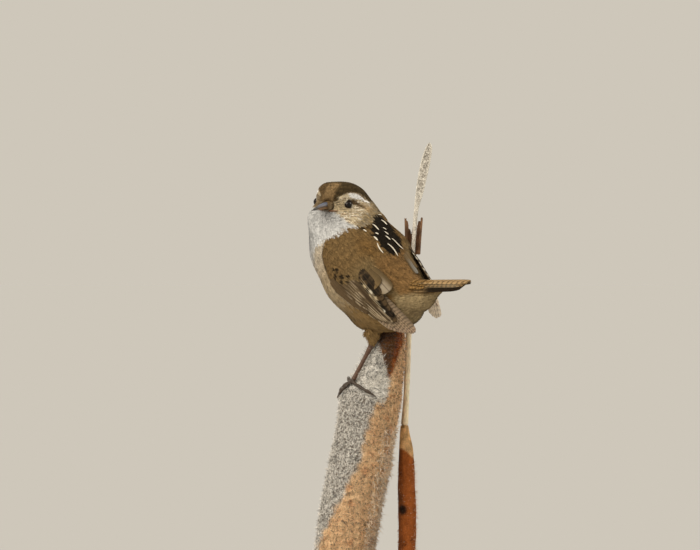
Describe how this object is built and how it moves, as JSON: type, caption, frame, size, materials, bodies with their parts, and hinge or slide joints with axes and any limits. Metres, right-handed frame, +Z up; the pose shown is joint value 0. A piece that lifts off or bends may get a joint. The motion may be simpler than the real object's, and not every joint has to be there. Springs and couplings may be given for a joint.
{
  "type": "marsh wren perched on a cattail",
  "caption": "Small brown wren, tail cocked and head turned back, gripping a weathered cattail head beside a slim stalk, both stems cut short and held on a round display base.",
  "frame": {"origin": "middle of the flat underside of the round base", "axes": "+Z up, -X the side the breast leans to, +X the tail's side, -Y the side the face is turned to"},
  "size_m": [0.09, 0.0901, 0.1954],
  "materials": {
    "plumage_head": "small soft feathers, brown crown, white brow, grey-buff cheek",
    "plumage_throat": "small soft feathers, greyish white",
    "plumage_body": "small soft feathers, warm brown with a black and white streaked mantle, buff below",
    "tail_feathers": "stiff feathers, brown barred with black",
    "wing_feathers": "stiff feathers, brown with black blotches and pale bars",
    "bill_horn": "slate grey horn, dark tip",
    "bill_horn_pale": "orange-brown horn, dark tip",
    "eye_surface": "wet, nearly black",
    "plumage_thigh": "small soft feathers, buffy brown",
    "leg_scales": "scaly, dark brown, dark claws",
    "cattail_fluff": "matted seed down, grey-white and tan, with a dark brown patch near the top",
    "spike_velvet": "dense rusty brown velvet",
    "dry_stalk": "dry straw",
    "dry_leaf": "dry bleached leaf, speckled grey inside",
    "dark_husk": "rotten dark brown sheath",
    "stand_wood": "dark stained wood, satin",
    "stand_metal": "brushed steel rod"
  },
  "bodies": {
    "root": {"head": "plumage_head", "neck": "plumage_throat", "torso": "plumage_body", "tail": "tail_feathers", "wing_left": "wing_feathers", "wing_right": "wing_feathers", "bill_upper": "bill_horn", "bill_lower": "bill_horn_pale", "eye_left": "eye_surface", "eye_right": "eye_surface", "thigh_left": "plumage_thigh", "thigh_right": "plumage_thigh", "tarsus_left": "leg_scales", "tarsus_right": "leg_scales", "foot_left": "leg_scales", "foot_right": "leg_scales", "perch_cattail": "cattail_fluff", "perch_spike": "spike_velvet", "perch_stalk": "dry_stalk", "perch_leaf": "dry_leaf", "perch_husk": "dark_husk", "stand_base": "stand_wood", "stand_rod_cattail": "stand_metal", "stand_rod_spike": "stand_metal"}
  },
  "joints": []
}
